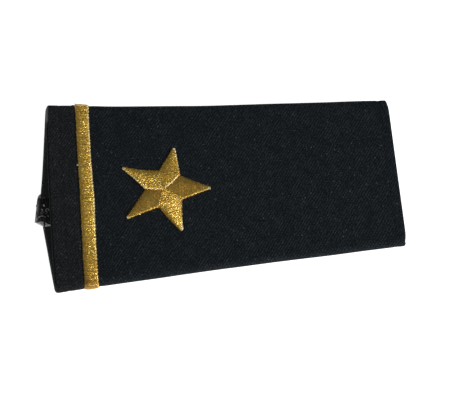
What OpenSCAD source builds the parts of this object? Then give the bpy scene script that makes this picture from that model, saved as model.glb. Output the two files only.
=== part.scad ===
// Slip-on shoulder board, lying on its back: a tapered sleeve of black twill with a stiffened front,
// a gold embroidered stripe across the wide end and a gold five-ray star beside it.
//
// +X runs from the wide end to the narrow end, +Y across the board and +Z out of its front.
// z = 0 is the surface that the back rests on. Lengths are in millimetres.

/* [Board] */
// Length of the front between its two hemmed ends
front_len = 94.2; // [80:0.1:120]
// Width across the two side folds at the wide end
wide_w = 54.2; // [46:0.1:64]
// Width across the two side folds at the narrow end
narrow_w = 42.7; // [36:0.1:50]
// Height of the front above the surface
board_h = 10; // [9:0.25:14]
// How far each long side is drawn in at mid-length
side_pull = 0.55; // [0:0.05:1.5]

/* [Cloth] */
// Thickness of the stiffened front
front_t = 1.5; // [1:0.1:2.2]
// Thickness of the back
back_t = 1; // [0.8:0.1:1.6]
// Extra thickness of the hem turned in at each mouth
hem_t = 0.5; // [0.3:0.1:0.8]
// Depth of that hem
hem_len = 7; // [4:0.5:12]
// Outer radius of the side folds
fold_r = 1.6; // [1.2:0.1:2.4]
// How far beyond its flat resting strip the back turns up towards the folds
turn_up = 5; // [2:0.25:7]
// Radius of the rounded rim of each mouth
rim_r = 0.7; // [0.2:0.05:0.9]

/* [Centre back seam] */
// Width of the seam allowance inside the back
seam_w = 8.2; // [5:0.1:9]
// Thickness of the allowance along the board
seam_t = 1.1; // [0.8:0.1:1.4]
// Thickness of the allowance where it is folded back in a hem
seam_hem_t = 1.7; // [1.2:0.1:2]
// How far the allowance lies over to the -Y side
seam_offset = 1.6; // [0:0.1:2]
// How far its end stands out of the wide mouth
seam_out = 1; // [0.4:0.1:2.5]
// Width of the pale raw interlining edge beside the allowance
lining_w = 1; // [0.6:0.1:1.4]
// Thickness of that edge
lining_t = 1; // [0.6:0.1:1.2]

/* [Stripe] */
// Width of the stripe
stripe_w = 3.7; // [2.5:0.1:7]
// Thickness of the stripe at its crown
stripe_t = 0.9; // [0.5:0.05:1.4]
// Distance of the stripe from the wide end of the front
stripe_in = 7.9; // [5:0.1:12]

/* [Star] */
// Radius of the circle through the tips of the star
star_r = 12.7; // [9:0.1:14]
// Radius of the circle through its notches
notch_r = 5.5; // [4.2:0.1:7]
// Height of the padded rays above the cloth
star_t = 1.3; // [0.7:0.05:2]
// Distance of the centre of the star from the wide end of the front
star_in = 30.6; // [28:0.1:48]
// How far the star sits from the centre line, towards the -Y side
star_offset = 0.9; // [0:0.1:4]
// Radius of the blunt tips
tip_r = 0.3; // [0.15:0.05:0.5]

/* [Hidden] */

cloth_colour = [0.1, 0.11, 0.12];
allowance_colour = [0.08, 0.08, 0.08];
lining_colour = [0.5, 0.5, 0.48];
gold = [0.72, 0.55, 0.25];

// Clearance between a piece and the cloth that it lies on, and between two neighbouring rays
seat_gap = 0.1;
ray_gap = 0.1;
// The hem's extra thickness starts over this length
hem_step = 0.3;
// The wall thickens from the fold to its full value over this length
fold_blend = 6;
// The wall at a fold is at most this share of the fold's radius
fold_share = 0.8;
// A rim is at most this share of the local wall
rim_share = 0.45;

// Facets of half a cross-section: front, fold, rising back, strip that rests
front_steps = 5;
fold_steps = 10;
back_steps = 9;
rest_steps = 2;
// Stations between the two hems, and angles of a rounded rim
span_steps = 7;
rim_angles = [0, 45, 90];
// The stripe runs this many facets of the rising back past each fold
stripe_back_facets = 1;

// A strip of cloth with square ends, folded on the two slanting sides, meets behind with its ends slanted twice
// as much. Each millimetre away from a fold moves the back by this much towards the wide end.
slant = tan(2 * atan((wide_w - narrow_w) / 2 / front_len));
wide_x = -front_len / 2;
narrow_x = front_len / 2;

// Half width of the flat strip of the back that touches the surface, as wide as the seam's layers make it stiff
rest_half = seam_offset + seam_w / 2 + seat_gap + lining_w;

function mix(a, b, t) = a + (b - a) * t;
function total(v, i) = i < 0 ? 0 : v[i] + total(v, i - 1);

function half_w(x) =
    let (u = (x - wide_x) / front_len)
    mix(wide_w, narrow_w, u) / 2 - side_pull * sin(180 * min(1, max(0, u)));

// Half of the outer cross-section at x, from the middle of the front round the +Y fold to the middle of the back.
// Each point is [y, z, angle of the outward normal].
function half_profile(x) =
    let (
        fold = [half_w(x) - fold_r, board_h - fold_r],
        knee = [rest_half + turn_up, 0],
        run = fold - knee,
        lean = atan2(run.y, run.x) - asin(fold_r / norm(run)),
        top = fold + fold_r * [sin(lean), -cos(lean)],
        rest = [rest_half, 0]
    )
    concat(
        [for (i = [0 : front_steps - 1]) [fold.x * i / front_steps, board_h, 90]],
        [for (i = [0 : fold_steps])
            let (a = 90 - (180 - lean) * i / fold_steps)
            [fold.x + fold_r * cos(a), fold.y + fold_r * sin(a), a]],
        [for (i = [1 : back_steps])
            let (
                t = i / back_steps,
                p = pow(1 - t, 2) * top + 2 * t * (1 - t) * knee + t * t * rest,
                d = (1 - t) * (knee - top) + t * (rest - knee)
            )
            [p.x, p.y, atan2(d.x, -d.y)]],
        [for (i = [1 : rest_steps]) [rest.x * (1 - i / rest_steps), 0, -90]]
    );

// Distance of each profile point from the outermost line of the fold, measured round the back
function back_run(profile) =
    let (steps = [for (i = [0 : len(profile) - 1])
        i > 0 && profile[i][2] < 0
            ? norm([profile[i].x - profile[i - 1].x, profile[i].y - profile[i - 1].y])
            : 0])
    [for (i = [0 : len(profile) - 1]) total(steps, i)];

fold_end = front_steps + fold_steps;

// Wall thickness at each profile point, where extra is the hem's share
function walls(profile, runs, extra) =
    let (thin = min(fold_share * fold_r, front_t + extra))
    [for (i = [0 : len(profile) - 1])
        i < front_steps
            ? mix(thin, front_t + extra, min(1, (profile[front_steps].x - profile[i].x) / fold_blend))
            : mix(thin, back_t + extra, min(1, max(0, runs[i] - runs[fold_end]) / fold_blend))];

// One closed ring of the sleeve. At a rim, angle 0 is the very end and 90 the full wall.
function ring(x, extra, rim_angle, inward, inner) =
    let (
        profile = half_profile(x),
        runs = back_run(profile),
        wall = walls(profile, runs, extra),
        half = [for (i = [0 : len(profile) - 1])
            let (
                r = min(rim_r, rim_share * wall[i]),
                inset = r * (1 - sin(rim_angle)),
                depth = inner ? wall[i] - inset : inset,
                a = profile[i][2]
            )
            [x + inward * r * (1 - cos(rim_angle)) - slant * runs[i],
                profile[i].x - depth * cos(a), profile[i].y - depth * sin(a)]]
    )
    concat(half, [for (i = [len(half) - 2 : -1 : 1]) [half[i].x, -half[i].y, half[i].z]]);

hem_end = wide_x + hem_len;
hem_start = narrow_x - hem_len;
// Each station is [x, extra thickness, rim angle, direction of the rim]
stations = concat(
    [for (a = rim_angles) [wide_x, hem_t, a, 1]],
    [[hem_end, hem_t, 90, 0]],
    [for (i = [0 : span_steps]) [mix(hem_end + hem_step, hem_start - hem_step, i / span_steps), 0, 90, 0]],
    [[hem_start, hem_t, 90, 0]],
    [for (i = [len(rim_angles) - 1 : -1 : 0]) [narrow_x, hem_t, rim_angles[i], -1]]
);

// How far the middle of the back stands out past the front at the wide end
wide_over = slant * back_run(half_profile(wide_x))[fold_end + back_steps + rest_steps];
narrow_under = slant * back_run(half_profile(narrow_x))[fold_end + back_steps + rest_steps];
back_wide_x = wide_x - wide_over;
back_narrow_x = narrow_x - narrow_under;
// The origin is below the middle of the whole length
middle_x = (back_wide_x - seam_out + narrow_x) / 2;

// Triangles between ring a and ring b of n points each, for points stored ring after ring
function band(a, b, n) = [for (i = [0 : n - 1])
    let (j = (i + 1) % n)
    each [[a * n + i, b * n + i, b * n + j], [a * n + i, b * n + j, a * n + j]]];
function flipped(faces) = [for (f = faces) [f[0], f[2], f[1]]];

// Skins a row of equal rings, with a flat fan on each end
module skin(rings) {
    n = len(rings[0]);
    last = len(rings) - 1;
    polyhedron(
        points = [for (r = rings) each r],
        faces = concat(
            [for (k = [0 : last - 1]) each band(k, k + 1, n)],
            [for (i = [1 : n - 2]) [0, i, i + 1]],
            [for (i = [1 : n - 2]) [last * n, last * n + i + 1, last * n + i]]
        ),
        convexity = 6
    );
}

module sleeve() {
    outer = [for (s = stations) ring(s[0], s[1], s[2], s[3], false)];
    inner = [for (s = stations) ring(s[0], s[1], s[2], s[3], true)];
    count = len(stations);
    n = len(outer[0]);
    color(cloth_colour)
    translate([-middle_x, 0, 0])
    polyhedron(
        points = concat([for (r = outer) each r], [for (r = inner) each r]),
        faces = concat(
            flipped([for (k = [0 : count - 2]) each band(k, k + 1, n)]),
            [for (k = [0 : count - 2]) each band(count + k, count + k + 1, n)],
            band(0, count, n),
            flipped(band(count - 1, 2 * count - 1, n))
        ),
        convexity = 6
    );
}

// Distance from the end of the back to where its hem's slanting inner edge has been passed by the whole seam
hem_clear = hem_len + hem_step + slant * rest_half;
// The seam's layers come down from the hem over this length
seam_ramp = 1;
// Length and share of the thickness of the rounded end of a folded layer
end_len = 0.4;
end_share = 0.72;

// The layers inside the back, from end to end. Each row is [x, height of the hem below, thickness].
function layer_rows(from, to, hem_thick, thick) = [
    [from, hem_t, hem_thick * end_share],
    [from + end_len, hem_t, hem_thick],
    [back_wide_x + hem_clear, hem_t, hem_thick],
    [back_wide_x + hem_clear + seam_ramp, 0, thick],
    [back_narrow_x - hem_clear - seam_ramp, 0, thick],
    [back_narrow_x - hem_clear, hem_t, hem_thick],
    [to - end_len, hem_t, hem_thick],
    [to, hem_t, hem_thick * end_share]
];

// Cross-section of a pressed strip of cloth with rounded long edges
function strip_ring(x, y, z, w, t) =
    let (r = min(t, w) * 0.35)
    [for (q = [0 : 3], k = [0 : 2])
        let (
            a = 90 * q + 45 * k,
            c = [(q == 0 || q == 3 ? 1 : -1) * (w / 2 - r), (q < 2 ? 1 : -1) * (t / 2 - r)]
        )
        [x, y + c.x + r * cos(a), z + t / 2 + c.y + r * sin(a)]];

// A layer whose middle line is at y, lying on the inner face of the back
module layer(rows, y, w) {
    translate([-middle_x, 0, 0])
    skin([for (s = rows) strip_ring(s[0], y, back_t + s[1] + seat_gap, w, s[2])]);
}

module seam_allowance() {
    color(allowance_colour)
    layer(layer_rows(back_wide_x - seam_out, back_narrow_x - seat_gap, seam_hem_t, seam_t), -seam_offset, seam_w);
}

module interlining_edge() {
    y = -seam_offset - seam_w / 2 - seat_gap - lining_w / 2;
    color(lining_colour)
    layer(layer_rows(back_wide_x - seam_out + end_len, back_narrow_x - end_len, lining_t, lining_t), y, lining_w);
}

// The stripe's cross-section as [share of its half width, share of its thickness]
stripe_shape = [[-1, 0], [-1, 0.45], [-0.75, 0.78], [-0.35, 0.97], [0.35, 0.97], [0.75, 0.78], [1, 0.45], [1, 0]];

// Cross-section of the stripe over profile point i, on the +Y side for side 1 and the -Y side for side -1
function stripe_ring(i, side) = [for (s = stripe_shape)
    let (
        x = wide_x + stripe_in + stripe_w / 2 * (1 + s[0]),
        profile = half_profile(x),
        p = profile[i],
        lift = seat_gap + s[1] * stripe_t
    )
    [x - slant * back_run(profile)[i], side * (p.x + lift * cos(p[2])), p.y + lift * sin(p[2])]];

module stripe() {
    reach = fold_end + stripe_back_facets;
    color(gold)
    translate([-middle_x, 0, 0])
    skin(concat(
        [for (i = [reach : -1 : 1]) stripe_ring(i, -1)],
        [for (i = [0 : reach]) stripe_ring(i, 1)]
    ));
}

// Outline of one ray that points along +X, from the star's centre round its +Y side to the tip and back
notch = notch_r * [cos(36), sin(36)];
flank = atan2(notch.y, star_r - notch.x);
tip_centre = [star_r - tip_r, 0];
ray_half = concat(
    [for (i = [1 : 3]) notch * i / 3],
    [for (i = [1 : 5]) mix(notch, tip_centre + tip_r * [sin(flank), cos(flank)], i / 5)],
    [tip_centre + tip_r * [cos(35), sin(35)]]
);
ray_outline = concat([[0, 0]], ray_half, [tip_centre + [tip_r, 0]],
    [for (i = [len(ray_half) - 1 : -1 : 0]) [ray_half[i].x, -ray_half[i].y]]);
// Rings of the padded ray, as [share of the way out from the ridge, share of the height]
pad_rings = [[1, 0], [1, 0.4], [0.86, 0.68], [0.6, 0.9], [0.3, 1]];
// The ridge runs between these shares of the star's radius, and is lower at both ends
ridge_from = 0.16;
ridge_to = 0.9;
ridge_low = 0.72;

module star_ray(number) {
    from = ridge_from * star_r;
    to = ridge_to * star_r;
    shift = ray_gap / 2 / sin(36);
    color(gold)
    translate([wide_x - middle_x + star_in, -star_offset, board_h + seat_gap])
    rotate([0, 0, 72 * (number - 1)])
    translate([shift, 0, 0])
    skin([for (k = [len(pad_rings) - 1 : -1 : 0]) [for (p = ray_outline)
        let (
            foot = [min(to, max(from, p.x)), 0],
            share = (foot.x - from) / (to - from),
            height = star_t * mix(ridge_low, 1, sin(180 * mix(0.25, 0.95, share))),
            q = mix(foot, p, pad_rings[k][0])
        )
        [q.x, q.y, height * pad_rings[k][1]]]]);
}

sleeve();
seam_allowance();
interlining_edge();
stripe();
star_ray(1);  // star_ray_1
star_ray(2);  // star_ray_2
star_ray(3);  // star_ray_3
star_ray(4);  // star_ray_4
star_ray(5);  // star_ray_5
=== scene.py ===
# Looks of a slip-on shoulder board that lies face up on a pale floor: a black twill sleeve with stitched
# hems, an overlocked centre-back seam inside it, and a gold embroidered stripe and five-ray star on it.
#
# +X runs from the wide end to the narrow end, +Y across the board and +Z out of its front. Shapes are worked
# out in millimetres and become metres where a mesh, a light or the camera is made.
import math

import bmesh
import bpy
import numpy as np
from mathutils import Euler, Matrix, Vector


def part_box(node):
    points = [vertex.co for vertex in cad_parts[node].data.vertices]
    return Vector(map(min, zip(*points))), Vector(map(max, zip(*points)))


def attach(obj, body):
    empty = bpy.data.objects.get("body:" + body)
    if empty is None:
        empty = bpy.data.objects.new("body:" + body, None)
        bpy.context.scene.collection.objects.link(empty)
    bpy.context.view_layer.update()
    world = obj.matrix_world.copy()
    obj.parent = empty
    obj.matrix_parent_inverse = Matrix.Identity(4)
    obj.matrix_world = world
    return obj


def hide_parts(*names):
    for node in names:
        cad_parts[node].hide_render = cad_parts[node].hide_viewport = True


MM = 0.001
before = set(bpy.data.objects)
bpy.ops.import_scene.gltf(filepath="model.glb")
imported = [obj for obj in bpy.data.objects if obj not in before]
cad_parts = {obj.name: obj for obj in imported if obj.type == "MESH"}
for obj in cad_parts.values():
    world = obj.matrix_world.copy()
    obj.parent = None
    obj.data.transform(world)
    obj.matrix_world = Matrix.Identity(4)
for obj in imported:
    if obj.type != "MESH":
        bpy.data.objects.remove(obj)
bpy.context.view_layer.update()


def box_mm(node):
    """Lowest and highest corner of a CAD node, in millimetres."""
    return [np.array(corner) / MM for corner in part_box(node)]


# Board: what the frame's boxes give, and the sizes that they don't show
sleeve_low, sleeve_high = box_mm("sleeve")
BOARD_H = sleeve_high[2]
WIDE_W = 2 * sleeve_high[1]
NARROW_W = 42.7
FRONT_LEN = 94.2
FRONT_X = sleeve_high[0] - FRONT_LEN / 2
WIDE_X = -FRONT_LEN / 2
NARROW_X = FRONT_LEN / 2
FRONT_T = 1.5
BACK_T = 1.0
HEM_T = 0.5
HEM_LEN = 7.0
HEM_STEP = 0.3
FOLD_R = 1.6
TURN_UP = 5.0
REST_HALF = 6.8
RIM_R = 0.7
# How far each long side is drawn in, how much nearer the wide end that is, and how pointed its dip is
FAR_DIP = (0.75, 0.4, 1.1)
NEAR_DIP = (0.38, 0.1, 1.4)
# How far the corners of the mouths are drawn back, and the front's wide edge bows out. Both fade along the
# board over the second length.
CORNER_DRAW, CORNER_FADE = 0.35, 2
WIDE_BOW, BOW_FADE = 0.27, 9
# The wall thickens from a fold over this length
FOLD_BLEND = 6.0
SLANT = math.tan(2 * math.atan((WIDE_W - NARROW_W) / 2 / FRONT_LEN))

# Hem stitching: distance of each line from its end, length of a stitch and of the gap after it
WIDE_STITCH_IN = 3.8
NARROW_STITCH_IN = 2.7
WIDE_STITCH_X = WIDE_X + WIDE_STITCH_IN
NARROW_STITCH_X = NARROW_X - NARROW_STITCH_IN
STITCH_LEN = 2.3
STITCH_GAP = 0.45

# Stripe and star
STRIPE_IN = 7.9
STRIPE_W = 3.77
STRIPE_T = 0.9
STRIPE_TURN = 2.1
STRIPE_X = WIDE_X + STRIPE_IN
STRIPE_END = STRIPE_X + STRIPE_W
# The stripe's far end leans this far towards the narrow end and its near end as far the other way. All of it
# is set in a little, and its middle bows.
STRIPE_LEAN = 0.12
STRIPE_SET_IN = 0.03
STRIPE_BOW = 0.15
# A loose loop on the stripe's wide-end edge, this far from the middle
LOOP_AT = 8.0
STAR_IN = 30.6
STAR_OFFSET = 0.9
STAR_T = 1.3


def held(value):
    """value, held between 0 and 1."""
    return np.clip(value, 0, 1)


def bump_at(x, centre, reach):
    """1 at the centre, falling off smoothly over reach."""
    return np.exp(-((x - centre) / reach) ** 2)


def dome(v, power):
    """1 in the middle and 0 at -1 and 1, the squarer the higher the power."""
    return np.sqrt(held(1 - np.abs(v) ** power))


# Cross-sections of the sleeve

def half_width(x, side):
    """Half width of the front at x, on the far side for 1 and the near side for -1."""
    share = held((x - WIDE_X) / FRONT_LEN)
    pull, early, power = FAR_DIP if side > 0 else NEAR_DIP
    dip = np.sin(np.pi * (share + early * share * (1 - share))) ** power
    return (WIDE_W + (NARROW_W - WIDE_W) * share) / 2 - pull * dip


FRONT_STEPS = 42
FOLD_STEPS = 14
BACK_STEPS = 26
REST_STEPS = 9
FOLD_END = FRONT_STEPS + FOLD_STEPS


def half_rows(x, side):
    """Half cross-sections at stations x, from mid-front round one fold to the middle of the back.

    Gives y, z, the angle of the outward normal, the run round the back and the run from the front's middle.
    """
    fold_y = half_width(x, side) - FOLD_R
    fold_z = BOARD_H - FOLD_R
    knee = REST_HALF + TURN_UP
    lean = np.arctan2(fold_z, fold_y - knee) - np.arcsin(FOLD_R / np.hypot(fold_y - knee, fold_z))
    column = np.ones_like(fold_y)[:, None]

    t = np.linspace(0, 1, FRONT_STEPS, endpoint=False) * column
    front = [fold_y[:, None] * t, BOARD_H + 0 * t, np.pi / 2 + 0 * t]

    t = np.linspace(0, 1, FOLD_STEPS + 1)[None]
    angle = np.pi / 2 - (np.pi - lean[:, None]) * t
    fold = [fold_y[:, None] + FOLD_R * np.cos(angle), fold_z + FOLD_R * np.sin(angle), angle]

    t = np.linspace(0, 1, BACK_STEPS + 1)[None, 1:]
    top_y = (fold_y + FOLD_R * np.sin(lean))[:, None]
    top_z = (fold_z - FOLD_R * np.cos(lean))[:, None]
    back_y = (1 - t) ** 2 * top_y + 2 * t * (1 - t) * knee + t * t * REST_HALF
    slope_y = (1 - t) * (knee - top_y) + t * (REST_HALF - knee)
    back = [back_y, (1 - t) ** 2 * top_z, np.arctan2(slope_y, (1 - t) * top_z)]

    t = np.linspace(0, 1, REST_STEPS + 1)[1:] * column
    rest = [REST_HALF * (1 - t), 0 * t, 0 * t - np.pi / 2]

    y, z, angle = (np.concatenate(parts, 1) for parts in zip(front, fold, back, rest))
    step = np.hypot(np.diff(y, axis=1), np.diff(z, axis=1))
    run = np.pad(np.cumsum(step, 1), ((0, 0), (1, 0)))
    step[angle[:, 1:] >= 0] = 0
    back_run = np.pad(np.cumsum(step, 1), ((0, 0), (1, 0)))
    return y, z, angle, back_run, run


def run_at(x, side):
    """The distances round the cloth along the half cross-section at x."""
    return half_rows(np.array([x]), side)[4][0]


# Low relief of the cloth along the board: where it is, over what reach, and how far it stands out
RELIEF = [
    (WIDE_STITCH_X, 0.42, -0.10),
    (NARROW_STITCH_X, 0.42, -0.10),
    (WIDE_X + 0.45 * WIDE_STITCH_IN, 1.3, 0.03),
    (NARROW_X - 0.4 * NARROW_STITCH_IN, 0.9, 0.03),
    (STRIPE_X - 0.3, 0.7, -0.07),
    (STRIPE_END + 0.3, 0.7, -0.07),
]
# The same where the cloth goes over the far fold
FAR_FOLD_RELIEF = [(STRIPE_X + 2, 6, 0.14), (STRIPE_X - 0.3, 0.5, 0.25)]
WAVE_HIGH = 0.045
RIPPLE_HIGH = 0.012
SEAM_DIP = 0.3


def raised(x, rows):
    """Height at x of all the bumps that rows lists."""
    return sum(high * bump_at(x, centre, reach) for centre, reach, high in rows)


def relief(x, s, seam):
    """How far the cloth stands out of its plain form. seam is the distance to the centre-back seam."""
    wave = np.sin(x * 0.21 + 0.7 + s * 0.05) * np.sin(s * 0.17 + 1.1 + x * 0.03)
    ripple = np.sin(x * 0.43 - s * 0.11) * np.sin(s * 0.39 + x * 0.09 + 2)
    soft = (WAVE_HIGH * wave + RIPPLE_HIGH * ripple) * (1 - held((8 - seam) / 3))
    far_fold = bump_at(s, WIDE_W / 2, 2.5) * raised(x, FAR_FOLD_RELIEF)
    return raised(x, RELIEF) + far_fold + soft - SEAM_DIP * bump_at(seam, 0, 0.4)


def edge_draw(x, s, side_run, front_half):
    """Shift along x that bows the front's wide edge outwards and draws the corners at the folds back."""
    corners = np.exp(-(x - WIDE_X) / CORNER_FADE) - np.exp(-(NARROW_X - x) / CORNER_FADE)
    corners = CORNER_DRAW * bump_at(np.abs(s), side_run, FOLD_R + 0.1) * corners
    return corners - WIDE_BOW * held(1 - (s / front_half) ** 2) * np.exp(-(x - WIDE_X) / BOW_FADE)


def skin_rows(x, inner=False, inset=0.0):
    """Rows of the outer or the inner skin at stations x, set into the wall by inset.

    A row runs from the middle of the back round the near fold, the front and the far fold to its start.
    Gives places, outward normals and the distance round the cloth from the front's middle.
    """
    x = np.atleast_1d(np.asarray(x, float))
    inset = np.broadcast_to(inset, x.shape)[:, None]
    sides = []
    for side in (-1, 1):
        y, z, angle, back_run, run = half_rows(x, side)
        normal = np.stack([0 * y, side * np.cos(angle), np.sin(angle)], -1)
        place = np.stack([x[:, None] - SLANT * back_run, side * y, z], -1)
        if inner:
            lift = inset - wall_depth(x, run, back_run)
        else:
            lift = relief(x[:, None], side * run, run[:, -1:] - run) - inset
        place = place + normal * lift[..., None]
        place[..., 0] += edge_draw(x[:, None], run, run[:, [FRONT_STEPS + 4]], run[:, [FRONT_STEPS]])
        sides.append((place, normal, side * run))
    place, normal, s = (np.concatenate([low[:, ::-1], high[:, 1:]], 1) for low, high in zip(*sides))
    place[:, [0, -1]] = (place[:, :1] + place[:, -1:]) / 2
    place[..., 0] += FRONT_X
    return place, normal, s


def wall_depth(x, run, back_run):
    """Thickness of the wall at each point of a half row, with the hems turned in at both ends."""
    inside = np.minimum(x - WIDE_X, NARROW_X - x)[:, None]
    hem = HEM_T * held((HEM_LEN - inside) / HEM_STEP + 0.5)
    fold_start = run[:, [FRONT_STEPS]]
    thin = np.minimum(0.8 * FOLD_R, FRONT_T + hem)
    front_share = held((fold_start - run) / FOLD_BLEND)
    back_share = held((back_run - back_run[:, [FOLD_END]]) / FOLD_BLEND)
    front = thin + (FRONT_T + hem - thin) * front_share
    back = thin + (BACK_T + hem - thin) * back_share
    return np.where(run < fold_start, front, back)


def on_cloth(x, s, lift):
    """Places and normals on the outer skin at stations x and distances s round the cloth, raised by lift."""
    x, s, lift = (np.asarray(v, float).ravel() for v in np.broadcast_arrays(x, s, lift))
    place, normal, rows = skin_rows(x)
    found = np.empty((len(x), 6))
    for i, row in enumerate(np.concatenate([place, normal], 2)):
        found[i] = [np.interp(s[i], rows[i], column) for column in row.T]
    normals = unit(found[:, 3:])
    return found[:, :3] + normals * lift[:, None], normals


# Meshes

class Skins:
    """Grids of points, in millimetres, gathered into one mesh with a UV map of their pattern places."""

    def __init__(self):
        self.points, self.faces, self.uvs, self.slots, self.tones = [], [], [], [], []
        self.count = 0

    def grid(self, points, uv, ring=False, loop=False, caps=False, slot=0, tone=0.5):
        """Adds rows of points. ring closes each row, loop joins the last to the first, caps fills the ends.

        uv has one more column than points where the rows are rings, and one more row where they form a loop.
        tone is a number, or one for each point, that the materials read.
        """
        rows, columns = points.shape[:2]
        ids = self.count + np.arange(rows * columns).reshape(rows, columns)
        self.count += rows * columns
        self.points.append(points.reshape(-1, 3))
        self.tones.append(np.broadcast_to(np.asarray(tone, float), (rows, columns)).ravel())
        if caps:
            for row, at in ((ids[0][::-1], 0), (ids[-1], -1)):
                self.faces.append(row.tolist())
                self.uvs.append(np.repeat(uv[at, :1], columns, 0))
                self.slots.append(np.array([slot]))
        ids = np.pad(ids, ((0, int(loop)), (0, int(ring))), mode="wrap")

        def corners(a):
            return np.stack([a[:-1, :-1], a[:-1, 1:], a[1:, 1:], a[1:, :-1]], 2)

        quads = corners(ids).reshape(-1, 4)
        self.faces.extend(quads.tolist())
        self.uvs.append(corners(uv).reshape(-1, 2))
        self.slots.append(np.full(len(quads), slot))

    def build(self, name, materials):
        """Makes the object, with smooth faces whose normals point outwards and nothing below the floor."""
        mesh = bpy.data.meshes.new(name)
        points = np.concatenate(self.points)
        points[:, 2] = np.maximum(points[:, 2], 0.01)
        mesh.from_pydata(points * MM, [], self.faces)
        pattern = mesh.uv_layers.new(name="pattern")
        pattern.uv.foreach_set("vector", np.concatenate(self.uvs).astype(np.float32).ravel())
        tone = mesh.attributes.new("tone", "FLOAT", "POINT")
        tone.data.foreach_set("value", np.concatenate(self.tones).astype(np.float32))
        for material in materials:
            mesh.materials.append(material)
        mesh.polygons.foreach_set("material_index", np.concatenate(self.slots).astype(np.int32))
        mesh.shade_smooth()
        work = bmesh.new()
        work.from_mesh(mesh)
        bmesh.ops.recalc_face_normals(work, faces=work.faces)
        work.to_mesh(mesh)
        work.free()
        return add_object(name, mesh)


def unit(v):
    return v / np.maximum(np.linalg.norm(v, axis=-1, keepdims=True), 1e-9)


def add_object(name, data):
    """An object of the scene that shows data."""
    made = bpy.data.objects.new(name, data)
    bpy.context.scene.collection.objects.link(made)
    return made


UP = np.array([[0.0, 0, 1]])
# How thin a thread's tip is, and half width and height of the threads of hems, overlock and frayed lining
THREAD_TIP = 0.45
HEM_THREAD = (0.15, 0.12)
OVERLOCK_THREAD = (0.13, 0.12)
FRAYED_THREAD = (0.035, 0.035)


def thread(skins, path, up, half_w, half_h, sides=8, ply=0.0, ply_pitch=1.1, phase=0.0, tone=0.5):
    """Adds a thread along path. up is where its flat side faces, and ply how deep its grooves are."""
    along = unit(np.gradient(path, axis=0))
    across = unit(np.cross(up, along))
    over = np.cross(along, across)
    run = np.pad(np.cumsum(np.linalg.norm(np.diff(path, axis=0), axis=1)), (1, 0))
    turn = np.linspace(0, 2 * np.pi, sides, endpoint=False)[None]
    swell = 1 + ply * np.cos(2 * (turn - 2 * np.pi * run[:, None] / ply_pitch - phase))
    end = np.minimum(run, run[-1] - run)[:, None]
    swell = swell * (THREAD_TIP + (1 - THREAD_TIP) * held(end / (1.2 * half_w)) ** 0.5)
    offset = (half_w * np.cos(turn) * swell)[..., None] * across[:, None]
    offset = offset + (half_h * np.sin(turn) * swell)[..., None] * over[:, None]
    around = np.linspace(0, 1, sides + 1)[None] + 0 * run[:, None]
    uv = np.stack([run[:, None] + 0 * around + 7 * phase, around], -1)
    skins.grid(path[:, None] + offset, uv, ring=True, caps=True, tone=tone)


# Materials

def new_material(name):
    """A material with its tree and its Principled node."""
    material = bpy.data.materials.new(name)
    material.use_nodes = True
    return material, material.node_tree, material.node_tree.nodes["Principled BSDF"]


def feed(made, inputs):
    """Sets a node's inputs to numbers, places or colours, or links them to output sockets."""
    for key, value in inputs.items():
        socket = made.inputs[key]
        if isinstance(value, bpy.types.NodeSocket):
            made.id_data.links.new(value, socket)
        else:
            socket.default_value = (*value, 1) if socket.type == "RGBA" else value


def add_node(tree, kind, inputs, output=0, **settings):
    """An output of a new node. Its inputs and the output go by name or by place."""
    made = tree.nodes.new(kind)
    for name, value in settings.items():
        setattr(made, name, value)
    feed(made, inputs)
    return made.outputs[output]


def calc(tree, operation, first, second=0.0, third=0.0):
    return add_node(tree, "ShaderNodeMath", {0: first, 1: second, 2: third}, operation=operation)


def times(tree, first, second):
    return calc(tree, "MULTIPLY", first, second)


def scaled(tree, value, factor, base):
    """value times factor, plus base."""
    return calc(tree, "MULTIPLY_ADD", value, factor, base)


def humps(tree, value):
    """A row of humps from 0 to 1, one for each unit of value."""
    return calc(tree, "ABSOLUTE", calc(tree, "SINE", times(tree, value, math.pi)))


def vector_calc(tree, operation, first, second=(0, 0, 0)):
    return add_node(tree, "ShaderNodeVectorMath", {0: first, 1: second}, operation=operation)


def noise(tree, vector, scale, detail=2.0, roughness=0.5):
    """Noise of about 0 to 1 at scale features for each unit of vector."""
    inputs = {"Vector": vector, "Scale": scale, "Detail": detail, "Roughness": roughness}
    return add_node(tree, "ShaderNodeTexNoise", inputs, "Fac")


def ramp(tree, value, low, high):
    """0 up to low and 1 from high on, smoothly in between."""
    inputs = {"Value": value, "From Min": low, "From Max": high}
    return add_node(tree, "ShaderNodeMapRange", inputs, interpolation_type="SMOOTHSTEP")


def blend(tree, share, first, second):
    """Mix of two colours, each given as red, green, blue or as a socket."""
    return add_node(tree, "ShaderNodeMix", {"Factor": share, 6: first, 7: second}, 2, data_type="RGBA")


def bump(tree, height, distance, strength=1.0):
    """Normal of a surface with a height of 0 to 1 that stands distance metres out."""
    return add_node(tree, "ShaderNodeBump", {"Strength": strength, "Distance": distance, "Height": height})


def pattern_place(tree):
    """The UV map's place and its two parts, in millimetres."""
    place = add_node(tree, "ShaderNodeUVMap", {}, uv_map="pattern")
    along = add_node(tree, "ShaderNodeSeparateXYZ", {"Vector": place})
    return place, along, along.node.outputs[1]


def object_place(tree):
    """The place on the object at rest, in metres."""
    return add_node(tree, "ShaderNodeTexCoord", {}, "Object")


def tone_value(tree):
    """The tone that the mesh holds for each point."""
    return add_node(tree, "ShaderNodeAttribute", {}, "Fac", attribute_name="tone")


def lots(tree, vector, scale):
    """A colour drawn by lot for each cell of a Voronoi texture, with its red and its blue."""
    colour = add_node(tree, "ShaderNodeTexVoronoi", {"Vector": vector, "Scale": scale}, "Color")
    red = add_node(tree, "ShaderNodeSeparateColor", {"Color": colour})
    return colour, red, red.node.outputs[2]


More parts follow.
